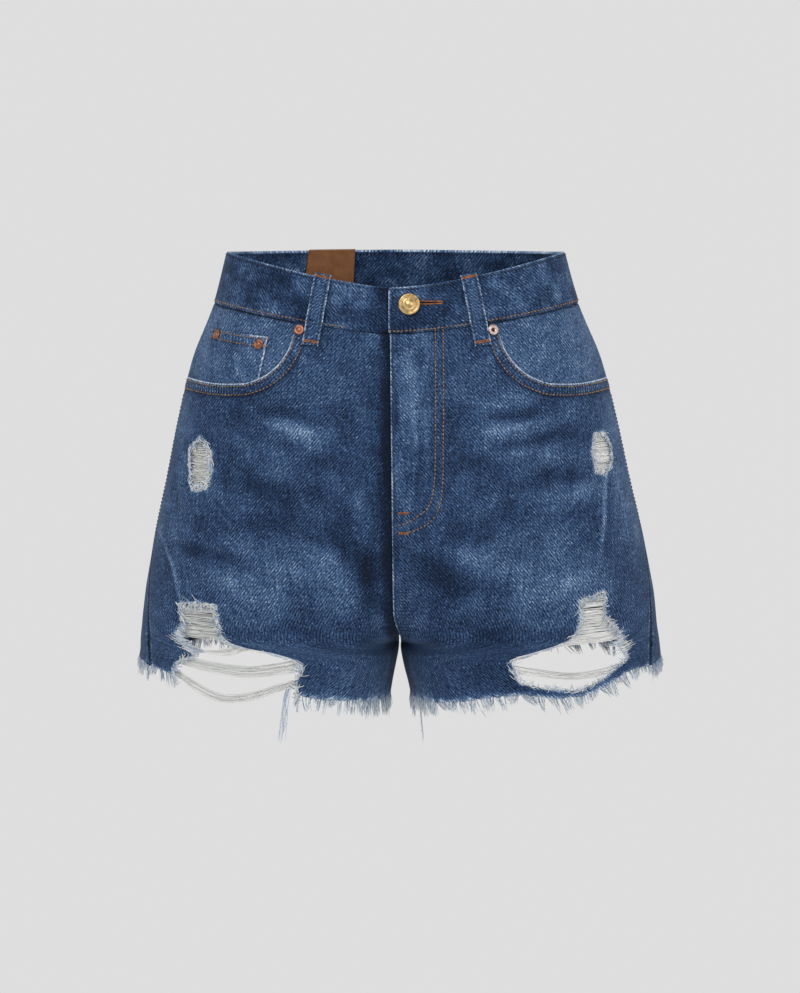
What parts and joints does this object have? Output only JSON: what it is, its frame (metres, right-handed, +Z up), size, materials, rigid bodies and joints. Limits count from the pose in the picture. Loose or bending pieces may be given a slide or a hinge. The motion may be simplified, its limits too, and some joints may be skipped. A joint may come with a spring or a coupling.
{
  "type": "denim shorts",
  "caption": "High-waisted denim shorts with a zip fly, button waist, scooped pockets, a coin pocket, belt loops, ripped fronts and frayed cut-off hems, filled out.",
  "frame": {"origin": "middle of the waist, between the front and the back of the waistband at its side mid-height, where the garment is held", "axes": "+Z up through the waist opening, -Y the garment's front, +X the wearer's left"},
  "size_m": [0.4193, 0.2386, 0.4009],
  "materials": {
    "denim": "washed indigo twill",
    "white_cotton": "plain white pocketing",
    "frayed_cotton": "loose pale blue and white threads",
    "tan_leather": "matt, bare",
    "brass": "aged satin",
    "copper": "aged copper-plated satin",
    "rose_nickel": "worn rose-coloured plating"
  },
  "bodies": {
    "root": {"waistband": "denim", "front_left": "denim", "front_right": "denim", "pocket_facing_left": "denim", "pocket_facing_right": "denim", "coin_pocket": "denim", "fly_facing": "denim", "fly_shield": "denim", "back_yoke_left": "denim", "back_yoke_right": "denim", "back_panel_left": "denim", "back_panel_right": "denim", "back_pocket_left": "denim", "back_pocket_right": "denim", "belt_loop_front_left": "denim", "belt_loop_front_right": "denim", "belt_loop_side_back_left": "denim", "belt_loop_side_back_right": "denim", "belt_loop_centre_back": "denim", "pocket_bag_left": "white_cotton", "pocket_bag_right": "white_cotton", "zip_tape": "frayed_cotton", "zip_slider": "brass", "leather_patch": "tan_leather", "button": "brass", "rivet_front_right": "copper", "rivet_front_left": "rose_nickel", "rivet_coin_outer": "copper", "rivet_coin_inner": "copper", "fringe_left": "frayed_cotton", "fringe_right": "frayed_cotton", "tear_threads_left": "frayed_cotton", "tear_threads_right": "frayed_cotton", "rip_threads_left_upper": "frayed_cotton", "rip_threads_left_middle": "frayed_cotton", "rip_threads_right_upper": "frayed_cotton", "rip_threads_right_second": "frayed_cotton", "rip_threads_right_third": "frayed_cotton", "rip_threads_right_lowest": "frayed_cotton", "loose_threads_left": "frayed_cotton", "loose_threads_right": "frayed_cotton"}
  },
  "joints": []
}
